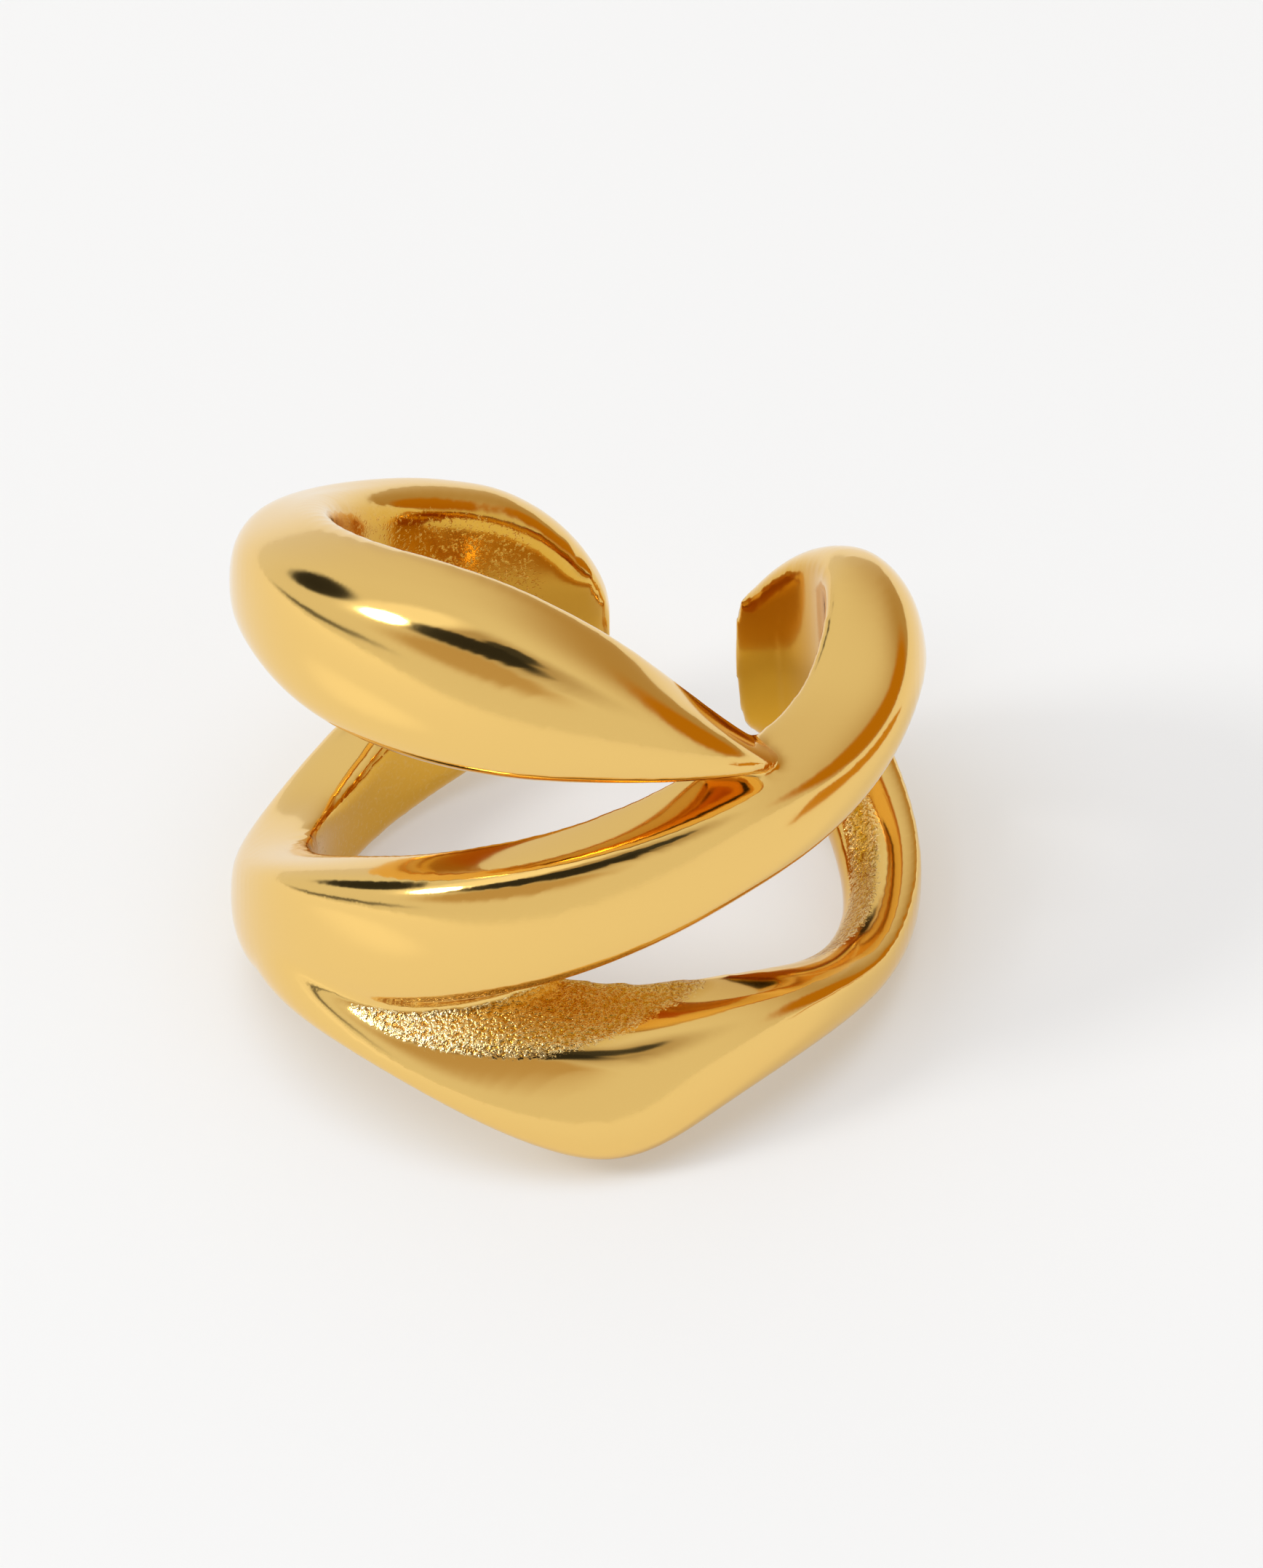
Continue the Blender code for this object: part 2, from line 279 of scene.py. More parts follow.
strands = [add_strand(name, rows, WALLS[name]) for name, rows in STRANDS.items()]
print("strand faces:", [len(strand.data.polygons) for strand in strands])

# %% [markdown]
# ## Melting the strands together
# The four strands overlap where the wax was melted together. A Boolean union would leave hard seams, so
# they are joined into one mesh and remeshed in voxels finer than a tenth of a millimetre, which makes one
# skin. A few rounds of smoothing all over, and many more where the skin is hollow, then take the seams
# away, as a torch does.

# %% Fuse and melt
VOXEL = 0.000085
SMOOTH_FACTOR = 0.5
SKIN_ROUNDS = 3
SEAM_HOLLOW = 0.12
SEAM_RINGS = 2
MELT_ROUNDS = 30
LEAST_WEIGHT = 0.01


def corner_points(piece):
    points = np.empty(3 * len(piece.data.vertices))
    piece.data.vertices.foreach_get("co", points)
    return points.reshape(-1, 3)


def vertex_normals(piece):
    normals = np.empty(3 * len(piece.data.vertices))
    piece.data.vertices.foreach_get("normal", normals)
    return normals.reshape(-1, 3)


def average_of_neighbours(piece, values):
    """For each vertex, the mean of the values at the far ends of its edges."""
    ends = np.empty(2 * len(piece.data.edges), int)
    piece.data.edges.foreach_get("vertices", ends)
    first, second = ends.reshape(-1, 2).T
    total = np.zeros_like(values, dtype=float)
    count = np.bincount(ends, minlength=len(values)).astype(float)
    np.add.at(total, first, values[second])
    np.add.at(total, second, values[first])
    return total / (count if values.ndim == 1 else count[:, None])


def hollowness(piece):
    """How far each vertex lies below its neighbours, in voxels: above 0 in a valley, below 0 on a ridge."""
    points = corner_points(piece)
    lift = average_of_neighbours(piece, points) - points
    return (lift * vertex_normals(piece)).sum(axis=1) / VOXEL


def spread(piece, chosen, rings):
    """Weights of 1 on the chosen vertices and this many rings of neighbours, which fade out beyond."""
    weights = np.array(chosen, float)
    for _ in range(rings):
        weights = np.ceil(average_of_neighbours(piece, weights))
    for _ in range(rings):
        weights = average_of_neighbours(piece, weights)
    return weights


def smooth_where(piece, weights, rounds):
    """Smooths a piece only where the weights say."""
    group = piece.vertex_groups.new(name="where")
    for vertex in np.flatnonzero(weights > LEAST_WEIGHT):
        group.add([int(vertex)], float(weights[vertex]), "REPLACE")
    use_modifier(piece, "SMOOTH", factor=SMOOTH_FACTOR, iterations=rounds, vertex_group=group.name)
    piece.vertex_groups.clear()


cuff = strands[0]
for strand in strands:
    strand.select_set(True)
bpy.context.view_layer.objects.active = cuff
bpy.ops.object.join()
cuff.name = "cuff"
cuff.data.name = "cuff"
use_modifier(cuff, "REMESH", mode="VOXEL", voxel_size=VOXEL)
use_modifier(cuff, "SMOOTH", factor=SMOOTH_FACTOR, iterations=SKIN_ROUNDS)
seams = spread(cuff, [hollow > SEAM_HOLLOW for hollow in hollowness(cuff)], SEAM_RINGS)
smooth_where(cuff, seams, MELT_ROUNDS)
print("fused faces:", len(cuff.data.polygons))

# %% [markdown]
# ## The bore and the two grips
# The rod that the wax was wound on is a long cone here, and it is cut away with an exact Boolean. Inside
# the two ends a small flat is filed, where the cuff grips the rim of the ear. Each flat is the face of a
# block that touches the bore at one turn, so the block is turned to that turn and leant by the bore's
# taper.

# %% Cut the bore and file the grips
ROD_SIDES = 256
LEFT_GRIP_TURN = -168.0
RIGHT_GRIP_TURN = 127.0
GRIP_SINK = 0.00001
GRIP_LENGTH = 0.0035


def cut_away(piece, cutter):
    use_modifier(piece, "BOOLEAN", operation="DIFFERENCE", solver="EXACT", object=cutter)
    bpy.data.objects.remove(cutter)


def inward_at(turn):
    """The direction that a grip at this turn faces, square to the tapered bore."""
    return -(on_turn(1, turn, BORE_TAPER).normalized())


def grip_block(turn):
    """A block inside the bore, standing flat against it from its turn towards the tip."""
    outward = -inward_at(turn)
    along = on_turn(1, turn + math.copysign(90, turn), 0)
    upward = outward.cross(along)
    touch = on_turn(BORE_WIDTH / 2, turn, HEIGHT / 2)
    centre = touch + outward * (GRIP_SINK - GRIP_LENGTH / 2) + along * GRIP_LENGTH / 2
    bpy.ops.mesh.primitive_cube_add(size=1)
    block = bpy.context.active_object
    sides = Matrix((outward * GRIP_LENGTH, along * GRIP_LENGTH, upward * HEIGHT)).transposed()
    block.matrix_world = Matrix.Translation(centre) @ sides.to_4x4()
    bpy.ops.object.transform_apply(location=True, rotation=True, scale=True)
    bpy.ops.object.mode_set(mode="EDIT")
    bpy.ops.mesh.select_all(action="SELECT")
    bpy.ops.mesh.normals_make_consistent(inside=False)
    bpy.ops.object.mode_set(mode="OBJECT")
    block.select_set(False)
    return block


bpy.ops.mesh.primitive_cone_add(
    vertices=ROD_SIDES,
    radius1=BORE_WIDTH / 2 + HEIGHT * BORE_TAPER,
    radius2=BORE_WIDTH / 2 - HEIGHT * BORE_TAPER,
    depth=2 * HEIGHT,
    location=(0, 0, HEIGHT / 2),
)
rod = bpy.context.active_object
bpy.ops.object.transform_apply(location=True, rotation=True, scale=True)
rod.select_set(False)
cut_away(cuff, rod)
cut_away(cuff, grip_block(LEFT_GRIP_TURN))
cut_away(cuff, grip_block(RIGHT_GRIP_TURN))
print("cut faces:", len(cuff.data.polygons))

# %% [markdown]
# ## Soft rims
# Tumbling and polishing round every rim a little, and a rounded rim is what catches a bright line of light.
# The cut cuff is remeshed once more, which also gives the bore clean even faces. Many rounds of smoothing
# beside the bore, weaker at the front than at the back, then turn its sharp rims into narrow round ones.

# %% Round the rims
RIM_REACH = 0.00012
RIM_RADIUS = 0.0007
RIM_RINGS = 5
RIM_ROUNDS = 100
WALL_FACES_IN = 0.85
FRONT_SHARE = 0.45
TURNING_BACK = 0.002


def at_the_rim(point, normal):
    """Whether a vertex lies beside the bore without belonging to its wall."""
    bore = BORE_WIDTH / 2 + BORE_TAPER * (HEIGHT / 2 - point.z)
    beside = math.hypot(point.x, point.y) - bore < RIM_REACH
    return beside and normal.dot(inward_at(turn_of(point))) < WALL_FACES_IN


use_modifier(cuff, "REMESH", mode="VOXEL", voxel_size=VOXEL)
rims = spread(cuff, [at_the_rim(vertex.co, vertex.normal) for vertex in cuff.data.vertices], RIM_RINGS)
rims *= np.interp(corner_points(cuff)[:, 1], (-TURNING_BACK, TURNING_BACK), (FRONT_SHARE, 1))
use_modifier(cuff, "SMOOTH", factor=SMOOTH_FACTOR, iterations=SKIN_ROUNDS)
smooth_where(cuff, rims, RIM_ROUNDS)
print("finished faces:", len(cuff.data.polygons))

# %% [markdown]
# ## Laying it down
# A loose cuff doesn't stand upright. It leans on three points, and the frame already says how: its record
# holds the direction of each grip as the cuff lies. The same two directions are known round the upright
# axis, and the turn that carries one pair to the other lays the cuff down. Its box is then set on the
# frame's box.

# %% Work out how it lies


def two_axes(first, second):
    """A square frame that follows two directions."""
    side = first.cross(second).normalized()
    return Matrix((first.normalized(), side, first.normalized().cross(side))).transposed()


def box_foot(points):
    """The middle of the underside of a box round the points."""
    low = Vector([min(point[axis] for point in points) for axis in range(3)])
    high = Vector([max(point[axis] for point in points) for axis in range(3)])
    return Vector(((low.x + high.x) / 2, (low.y + high.y) / 2, low.z))


grips = {mount["name"]: Vector(mount["axis"]) for mount in frame["record"]["mounts"]}
upright = two_axes(inward_at(LEFT_GRIP_TURN), inward_at(RIGHT_GRIP_TURN))
lying = two_axes(grips["left_grip"], grips["right_grip"])
turn_down = (lying @ upright.transposed()).to_4x4()
cuff_foot = box_foot([turn_down @ vertex.co for vertex in cuff.data.vertices])
frame_foot = box_foot([Vector(corner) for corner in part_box("cuff_casting")])
lay_down = Matrix.Translation(frame_foot - cuff_foot) @ turn_down

# %% [markdown]
# ## Where the skin stayed rough
# Polishing wheels can't reach into the narrow valley between the middle and the lower strand, or the inner
# slope of the lower strand at the right. The cast skin stays there, and it sparkles. Its strength is stored
# on the mesh as an attribute while the cuff is still upright, as bands round a few listed marks. A mark's
# height is a share of the full height, and its depth outside the bore and its reach are in metres. The
# shade depth says how much deeper gold is painted there, a painted shade for the shaded reflections in the
# valley. The outer faces, which a wheel does reach, are left out by how little their normals rise.

# %% Mark the cast skin and the painted shade: turn, height, depth, reach, strength, shade depth
CAST_BANDS = [
    [
        (-42, 0.200, 0.0012, 0.0002, 0.9, 0.0),
        (-31, 0.210, 0.0012, 0.0005, 1.0, 0.0),
        (-21, 0.222, 0.0012, 0.0008, 1.0, 0.1),
        (-11, 0.240, 0.0010, 0.0010, 1.0, 0.4),
        (0, 0.250, 0.0008, 0.0009, 0.9, 0.65),
        (12, 0.250, 0.0006, 0.0006, 0.75, 0.75),
        (24, 0.240, 0.0004, 0.0003, 0.6, 0.75),
    ],
    [
        (56, 0.205, 0.0004, 0.00015, 0.8, 0.7),
        (66, 0.215, 0.0005, 0.0002, 0.9, 0.8),
        (74, 0.215, 0.0006, 0.00028, 0.9, 0.8),
        (90, 0.250, 0.0006, 0.00028, 0.9, 0.8),
        (98, 0.295, 0.0006, 0.00028, 0.9, 0.8),
        (106, 0.355, 0.0005, 0.0002, 0.9, 0.8),
    ],
]
MARK_EDGE = 0.0002
OUTER_FACE_RISE = 0.2
UPPER_FACE_RISE = 0.45


def fill_in(band):
    """The marks of a band with new ones between them, one at every degree of turn."""
    columns = np.transpose(band)
    turns = np.arange(band[0][0], band[-1][0] + 1)
    return np.transpose([turns] + [np.interp(turns, columns[0], column) for column in columns[1:]])


points = corner_points(cuff)
cast_skin = np.zeros(len(points))
painted_shade_skin = np.zeros(len(points))
marks = np.concatenate([fill_in(band) for band in CAST_BANDS])
for turn, height, depth, reach, strength, shade_depth in marks:
    mark = on_turn(BORE_WIDTH / 2 + depth, turn, height * HEIGHT)
    beyond = np.linalg.norm(points - np.array(mark), axis=1) - reach
    near = np.clip((MARK_EDGE - beyond) / (2 * MARK_EDGE), 0, 1)
    cast_skin = np.maximum(cast_skin, strength * near)
    # The last column paints a deeper gold here, a painted shade for the valley's shaded reflections.
    painted_shade_skin = np.maximum(painted_shade_skin, shade_depth * near)
rise = vertex_normals(cuff)[:, 2]
upper_faces = np.clip((rise - OUTER_FACE_RISE) / (UPPER_FACE_RISE - OUTER_FACE_RISE), 0, 1)
cast_skin *= upper_faces
painted_shade_skin *= upper_faces
print("cast skin on", round(100 * np.mean(cast_skin > 0.5), 1), "% of the points")

# %% [markdown]
# ## Painted shade in the bore
# Inside the cuff the gold mirrors more gold again and again, so its reflections there turn deep orange and
# dark, most of all under the right end. This is painted into the bore as a deeper colour, a painted shade.
# How deep is stored on the mesh as a second attribute. Inside the left end a little of the grain is left
# too.

# %% Mark the bore
BORE_PAINTED_SHADE = 0.75
RIGHT_END = (104, 150)
FACES_IN = 0.8
BORE_BLUR = 6
LEFT_END_GRAIN = 0.36
LEFT_END_EDGE = 0.001


# Painted shade on the bore wall, deepest under the right end; it also weights the left end's grain.
def bore_painted_shade(point, normal):
    turn = turn_of(point)
    faces_in = normal.dot(inward_at(turn)) >= FACES_IN
    on_the_wall = math.hypot(point.x, point.y) <= BORE_WIDTH / 2 + RIM_RADIUS
    if not (faces_in and on_the_wall):
        return 0.0
    return 1.0 if RIGHT_END[0] < turn < RIGHT_END[1] else BORE_PAINTED_SHADE


bore_shade_and_grain = np.array([bore_painted_shade(vertex.co, vertex.normal) for vertex in cuff.data.vertices])
for _ in range(BORE_BLUR):
    bore_shade_and_grain = average_of_neighbours(cuff, bore_shade_and_grain)
left_and_back = points[:, :2] * (-1, 1)
in_left_end = np.clip(left_and_back / LEFT_END_EDGE, 0, 1).prod(axis=1)
cast_skin = np.maximum(cast_skin, LEFT_END_GRAIN * bore_shade_and_grain * in_left_end)
painted_shade_skin = np.maximum(painted_shade_skin, bore_shade_and_grain)
for name, values in {"cast_skin": cast_skin, "painted_shade_skin": painted_shade_skin}.items():
    cuff.data.attributes.new(name, "FLOAT", "POINT").data.foreach_set("value", values)

# %% [markdown]
# ## Handing it to the frame
# The marks were placed round the upright axis, so the cuff is laid down only now, and its place is applied
# to its mesh. It rides on the one body of the part and stands in for the solid casting.

# %% Lay it down
cuff.matrix_world = lay_down
cuff.select_set(True)
bpy.context.view_layer.objects.active = cuff
bpy.ops.object.transform_apply(location=True, rotation=True, scale=True)
bpy.ops.object.shade_smooth()
bpy.ops.object.select_all(action="DESELECT")
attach(cuff, "root")
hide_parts("cuff_casting")
print("cuff has", sum(len(face.vertices) - 2 for face in cuff.data.polygons), "triangles")

# %% [markdown]
# ## Polished gold
# The metal is yellow gold, cast and then polished on a felt wheel. Polished metal has no colour of its own
# besides the tint of its reflections, so the eye reads it from what it mirrors. Two things keep it from
# looking like a computed chrome: the wheel leaves very shallow waves, and the cast skin in the valleys
# stays grainy. Between its grains the skin is pitted and darker. Inside the bore and in the valleys a
# deeper gold is painted in, a painted shade for the dark reflections that gold throws back into itself.

# %% Colour and node helpers


def linear(hex_colour):
    """An sRGB hex colour as linear red, green, blue and alpha."""
    parts = [int(hex_colour[i : i + 2], 16) / 255 for i in (1, 3, 5)]
    return [part / 12.92 if part <= 0.04045 else ((part + 0.055) / 1.055) ** 2.4 for part in parts] + [1]


def add_node(tree, kind, settings=None, values=None, links=None):
    """Adds a node, sets its settings and socket values, and links outputs of other nodes to its sockets."""
    node = tree.nodes.new(kind)
    for name, value in (settings or {}).items():
        setattr(node, name, value)
    for name, value in (values or {}).items():
        node.inputs[name].default_value = value
    for name, output in (links or {}).items():
        tree.links.new(output, node.inputs[name])
    return node


def new_material(name):
    material = bpy.data.materials.new(name)
    material.use_nodes = True
    material.node_tree.nodes.clear()
    return material, material.node_tree


def finish_material(tree, shader):
    add_node(tree, "ShaderNodeOutputMaterial", links={"Surface": shader.outputs[0]})


# %% The gold
GOLD = "#f2ca78"
CAST_GOLD = "#fae4ac"
PIT_GOLD = "#b8843c"
# The deeper gold below is painted shade, for the dark reflections inside the bore and the valleys.
PAINTED_SHADE_GOLD = "#d8a018"
WAVE_WIDTH_MM = 1.6
GRAIN_WIDTH_MM = 0.08
WAVE_DEPTH = 0.000002
GRAIN_DEPTH = 0.00004
GRAIN_AT_THE_EDGE = 0.8
ROUGH_FROM = 0.62
PITS_BELOW = 0.4
PITS_END = 0.56
POLISHED_ROUGHNESS = 0.1
CAST_ROUGHNESS = 0.18


def scale_for(width_mm):
    """A noise scale, in waves per metre, for a pattern of this width."""
    return 1000 / width_mm


def polished_gold():
    material, tree = new_material("polished_cast_gold")
    place = add_node(tree, "ShaderNodeTexCoord").outputs["Object"]
    skin_mask = add_node(tree, "ShaderNodeAttribute", {"attribute_name": "cast_skin"}).outputs["Fac"]
    painted_shade_mask = add_node(tree, "ShaderNodeAttribute", {"attribute_name": "painted_shade_skin"}).outputs["Fac"]
    grain = add_node(
        tree,
        "ShaderNodeTexNoise",
        values={"Scale": scale_for(GRAIN_WIDTH_MM), "Detail": 2.0, "Roughness": 0.6},
        links={"Vector": place},
    ).outputs["Fac"]
    waves = add_node(
        tree,
        "ShaderNodeTexNoise",
        values={"Scale": scale_for(WAVE_WIDTH_MM), "Detail": 1.0},
        links={"Vector": place},
    ).outputs["Fac"]
    ragged = add_node(
        tree,
        "ShaderNodeMath",
        {"operation": "MULTIPLY_ADD", "use_clamp": True},
        values={1: GRAIN_AT_THE_EDGE},
        links={0: grain, 2: skin_mask},
    ).outputs[0]
    rough_mask = add_node(
        tree,
        "ShaderNodeMapRange",
        {"interpolation_type": "SMOOTHSTEP"},
        values={"From Min": ROUGH_FROM, "From Max": 1.0},
        links={"Value": ragged},
    ).outputs["Result"]
    out_of_pits = add_node(
        tree,
        "ShaderNodeMapRange",
        values={"From Min": PITS_BELOW, "From Max": PITS_END},
        links={"Value": grain},
    ).outputs["Result"]
    pitted_colour = add_node(
        tree,
        "ShaderNodeMix",
        {"data_type": "RGBA"},
        values={6: linear(PIT_GOLD), 7: linear(CAST_GOLD)},
        links={0: out_of_pits},
    ).outputs[2]
    cast_colour = add_node(
        tree,
        "ShaderNodeMix",
        {"data_type": "RGBA"},
        values={6: linear(GOLD)},
        links={0: rough_mask, 7: pitted_colour},
    ).outputs[2]
    # The deeper gold mixed in here is painted shade.
    colour = add_node(
        tree,
        "ShaderNodeMix",
        {"data_type": "RGBA"},
        values={7: linear(PAINTED_SHADE_GOLD)},
        links={0: painted_shade_mask, 6: cast_colour},
    ).outputs[2]
    roughness = add_node(
        tree,
        "ShaderNodeMapRange",
        values={"To Min": POLISHED_ROUGHNESS, "To Max": CAST_ROUGHNESS},
        links={"Value": rough_mask},
    ).outputs["Result"]
    wave_bump = add_node(
        tree,
        "ShaderNodeBump",
        values={"Strength": 1.0, "Distance": WAVE_DEPTH},
        links={"Height": waves},
    ).outputs["Normal"]
    grain_bump = add_node(
        tree,
        "ShaderNodeBump",
        values={"Distance": GRAIN_DEPTH},
        links={"Strength": rough_mask, "Height": grain, "Normal": wave_bump},
    ).outputs["Normal"]
    shader = add_node(
        tree,
        "ShaderNodeBsdfPrincipled",
        values={"Metallic": 1.0},
        links={"Base Color": colour, "Roughness": roughness, "Normal": grain_bump},
    )
    finish_material(tree, shader)
    return material


cuff.data.materials.clear()
cuff.data.materials.append(polished_gold())

# %% [markdown]
# ## The table
# The photo shows only a plain pale surface. It is a sheet of matt white board here, large enough that its
# edge is never in view, and it is staging rather than part of the cuff. It glows a little, as the top of a
# light table does, which keeps the shadows pale and sends soft light up onto the metal.

# %% A matt white board with a painted glow
BOARD_WIDTH = 0.6
BOARD_WHITE = "#c8c8c6"
BOARD_GLOW_WHITE = "#fffefa"
BOARD_GLOW = 0.3
BOARD_ROUGHNESS = 0.9
TOOTH_WIDTH_MM = 0.4
TOOTH_DEPTH = 0.00001
TOOTH_STRENGTH = 0.2


def matt_glowing_board():
    material, tree = new_material("matt_white_board_painted_glow")
    place = add_node(tree, "ShaderNodeTexCoord").outputs["Object"]
    tooth = add_node(
        tree,
        "ShaderNodeTexNoise",
        values={"Scale": scale_for(TOOTH_WIDTH_MM), "Detail": 2.0},
        links={"Vector": place},
    ).outputs["Fac"]
    bump = add_node(
        tree,
        "ShaderNodeBump",
        values={"Strength": TOOTH_STRENGTH, "Distance": TOOTH_DEPTH},
        links={"Height": tooth},
    ).outputs["Normal"]
    # The emission is a painted glow: it lifts the whole board evenly and pales its shadows.
    shader = add_node(
        tree,
        "ShaderNodeBsdfPrincipled",
        values={
            "Base Color": linear(BOARD_WHITE),
            "Roughness": BOARD_ROUGHNESS,
            "Emission Color": linear(BOARD_GLOW_WHITE),
            "Emission Strength": BOARD_GLOW,
        },
        links={"Normal": bump},
    )
    finish_material(tree, shader)
    return material


bpy.ops.mesh.primitive_plane_add(size=BOARD_WIDTH)
board = bpy.context.active_object
board.name = "board"
board.data.materials.append(matt_glowing_board())
board.select_set(False)

# %% [markdown]
# ## A gold card
# A photographer lays a gold card beside a piece of gold, so that its lower right ridges mirror a rich
# orange line. Only mirrored light finds this one, so it neither shows in the picture nor tints the board.
# It lies just above the board, outside the picture.

# %% The card on the board
CARD_GOLD = "#c89022"
CARD_MIDDLE = (0.0295, -0.0035, 0.0002)
CARD_WIDTH = 0.017


def card_stock():
    material, tree = new_material("matt_gold_card")
    finish_material(tree, add_node(tree, "ShaderNodeBsdfDiffuse", values={"Color": linear(CARD_GOLD)}))
    return material


bpy.ops.mesh.primitive_plane_add(size=CARD_WIDTH, location=CARD_MIDDLE)
card = bpy.context.active_object
card.name = "gold_card"
card.data.materials.append(card_stock())
card.visible_camera = False
card.visible_diffuse = False
card.visible_shadow = False
bpy.ops.object.transform_apply(location=True, rotation=True, scale=True)
card.select_set(False)

# %% [markdown]
# ## Light
# Polished metal needs something to mirror. A photographer puts it in a white tent, and the dark accents on
# it are the gaps and black flags between the white panels. The tent here is the world: white cloth with
# soft-edged ovals laid over it, each given by the direction of its middle. A round softbox hangs at the
# left, and the shadow falls softly to the right. The view transform is Standard, so that white board
# renders white.

# %% The tent
TENT_WHITE = "#fffefb"
TENT_STRENGTH = 0.82
BRIGHTEST = 2.2
# azimuth and elevation of the middle, half width, half height and lean, all in degrees; softness; colour;
# strength
TENT_OVALS = {
    "warm wall": (128, 8, 48, 38, 0, 0.7, "#ffdca0", 0.48),
    "dim ceiling": (-18, 56, 44, 26, 0, 0.4, "#ffecd0", 0.5),
    "ceiling gap": (6, 60, 14, 11, 0, 0.2, "#ffffff", 0.05),
    "left panel": (-86, 54, 15, 28, 0, 0.3, "#ffffff", 1.1),
    "brown band": (-32, 22, 34, 11, 0, 0.3, "#ffe2b4", 0.56),
    "front flag": (-29, 48, 32, 13, 6, 0.18, "#ffffff", 0.03),
    "left flag": (-123, 28, 19, 11, 20, 0.2, "#ffffff", 0.03),
    "tent seam": (-92, 3, 24, 1.8, 4, 0.5, "#ffffff", 0.1),
    "gold card": (100, 16, 30, 17, 0, 0.25, "#e8a01c", 0.62),
}


def glow(colour, strength):
    """A colour of light, as a share of the brightest."""
    return [part * strength / BRIGHTEST for part in linear(colour)]


def add_oval(tree, direction, tent, oval):
    """Lays one soft-edged oval over the tent and returns the new colour."""
    azimuth, elevation, half_width, half_height, lean, softness, colour, strength = oval
    outward = on_turn(math.cos(math.radians(elevation)), azimuth, math.sin(math.radians(elevation)))
    side = on_turn(1, azimuth + 90, 0)
    axes = Matrix((side, outward.cross(side), outward)).transposed()
    axes = Matrix.Rotation(math.radians(lean), 3, outward) @ axes
    halves = (math.sin(math.radians(half_width)), math.sin(math.radians(half_height)), 1)
    from_middle = add_node(
        tree,
        "ShaderNodeMapping",
        {"vector_type": "TEXTURE"},
        values={"Location": outward, "Rotation": axes.to_euler(), "Scale": halves},
        links={"Vector": direction},
    ).outputs[0]
    distance = add_node(
        tree, "ShaderNodeVectorMath", {"operation": "LENGTH"}, links={0: from_middle}
    ).outputs["Value"]
    inside = add_node(
        tree,
        "ShaderNodeMapRange",
        {"interpolation_type": "SMOOTHSTEP"},
        values={"From Min": 1 + softness, "From Max": 1 - softness},
        links={"Value": distance},
    ).outputs["Result"]
    return add_node(
        tree,
        "ShaderNodeMix",
        {"data_type": "RGBA"},
        values={7: glow(colour, strength)},
        links={0: inside, 6: tent},
    ).outputs[2]


def light_tent():
    world = bpy.data.worlds.new("white_tent")
    world.use_nodes = True
    tree = world.node_tree
    tree.nodes.clear()
    direction = add_node(tree, "ShaderNodeTexCoord").outputs["Generated"]
    cloth = add_node(tree, "ShaderNodeRGB")
    cloth.outputs[0].default_value = glow(TENT_WHITE, TENT_STRENGTH)
    tent = cloth.outputs[0]
    for oval in TENT_OVALS.values():
        tent = add_oval(tree, direction, tent, oval)
    lit = add_node(tree, "ShaderNodeBackground", values={"Strength": BRIGHTEST}, links={"Color": tent})
    add_node(tree, "ShaderNodeOutputWorld", links={"Surface": lit.outputs[0]})
    bpy.context.scene.world = world


light_tent()
bpy.context.scene.view_settings.view_transform = "Standard"
print("the tent has", len(TENT_OVALS), "ovals")

# %% [markdown]
# ## Softboxes
# The softbox at the left throws the soft shadow and its round white reflection sits between the dark ones.
# A large cool fill overhead only whitens the board, so it is hidden from mirrored light. A small spot
# brightens a pool of board outside the picture at the left, which the left faces mirror as their pale glow.

# %% The softboxes
FILL_COLOUR = "#d6e4ff"
POOL_AZIMUTH = -68
POOL_AWAY = 0.032
POOL_HEIGHT = 0.15
POOL_ANGLE = 10
POOL_POWER = 0.2


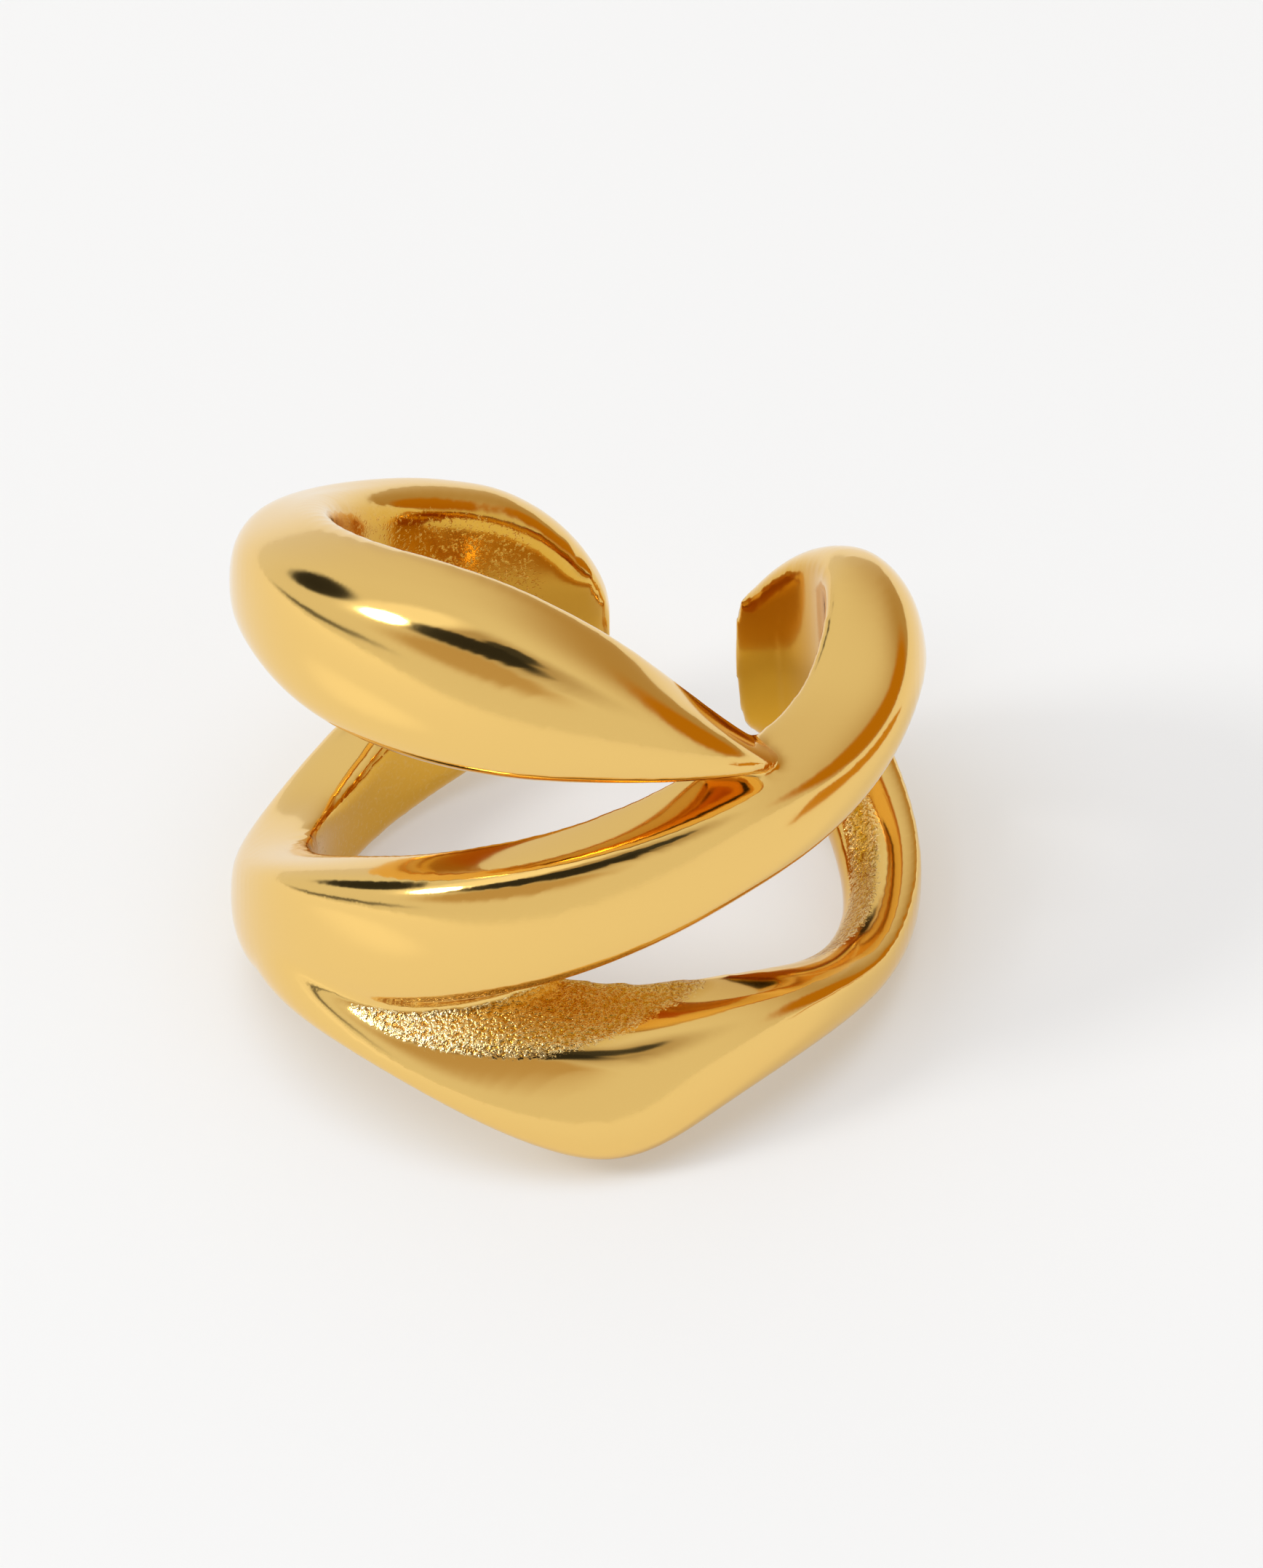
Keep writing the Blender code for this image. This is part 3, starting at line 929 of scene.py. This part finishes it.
def soft_light(name, azimuth, elevation, distance, size, power):
    """A round area light that looks at the cuff from a direction, 0 at the front and 90 at the right."""
    middle = Vector((0, 0, HEIGHT / 2))
    flat = distance * math.cos(math.radians(elevation))
    place = middle + on_turn(flat, azimuth, distance * math.sin(math.radians(elevation)))
    bpy.ops.object.light_add(type="AREA", radius=size, location=place)
    light = bpy.context.active_object
    light.name = name
    light.data.shape = "DISK"
    light.data.size = size
    light.data.energy = power
    light.rotation_euler = (place - middle).to_track_quat("Z", "Y").to_euler()
    light.select_set(False)
    return light


soft_light("left_softbox", azimuth=-80, elevation=36, distance=0.5, size=0.15, power=0.75)
overhead = soft_light("overhead_fill", azimuth=-30, elevation=80, distance=0.6, size=0.6, power=1.8)
overhead.data.color = linear(FILL_COLOUR)[:3]
overhead.visible_glossy = False
bpy.ops.object.light_add(type="SPOT", location=on_turn(POOL_AWAY, POOL_AZIMUTH, POOL_HEIGHT))
pool = bpy.context.active_object
pool.name = "pool_at_the_left"
pool.data.energy = POOL_POWER
pool.data.spot_size = math.radians(POOL_ANGLE)
pool.data.spot_blend = 1.0
pool.visible_glossy = False
pool.select_set(False)

# %% [markdown]
# ## Camera
# The photo looks down at the cuff's front from 25 degrees above its own horizon, from far enough away that
# the strands hardly taper. The camera is set up round the upright axis, from the photo's scale and the
# place of the axis in it, and is then laid down with the cuff, so the view onto the metal is the photo's.

# %% Look from the photo's angle
PHOTO_WIDTH, PHOTO_HEIGHT = 1736, 2155
PIXELS_PER_METRE = 73800
AXIS_FOOT_X, AXIS_FOOT_Y = 793.5, 1382
VIEW_ELEVATION = 25.0
VIEW_DISTANCE = 0.30
SENSOR_MM = 36.0

lift = math.radians(VIEW_ELEVATION)
rightward = Vector((1, 0, 0))
upward = Vector((0, math.sin(lift), math.cos(lift)))
backward = rightward.cross(upward)
looked_at = (
    rightward * (PHOTO_WIDTH / 2 - AXIS_FOOT_X) / PIXELS_PER_METRE
    + upward * (AXIS_FOOT_Y - PHOTO_HEIGHT / 2) / PIXELS_PER_METRE
)
pose = Matrix((rightward, upward, backward)).transposed().to_4x4()
pose.translation = looked_at + backward * VIEW_DISTANCE
bpy.ops.object.camera_add()
camera = bpy.context.active_object
camera.matrix_world = lay_down @ pose
camera.data.sensor_width = SENSOR_MM
camera.data.lens = SENSOR_MM * VIEW_DISTANCE * PIXELS_PER_METRE / PHOTO_HEIGHT
camera.data.clip_start = VIEW_DISTANCE / 10
bpy.context.scene.camera = camera
print("camera lens", round(camera.data.lens, 1), "mm")
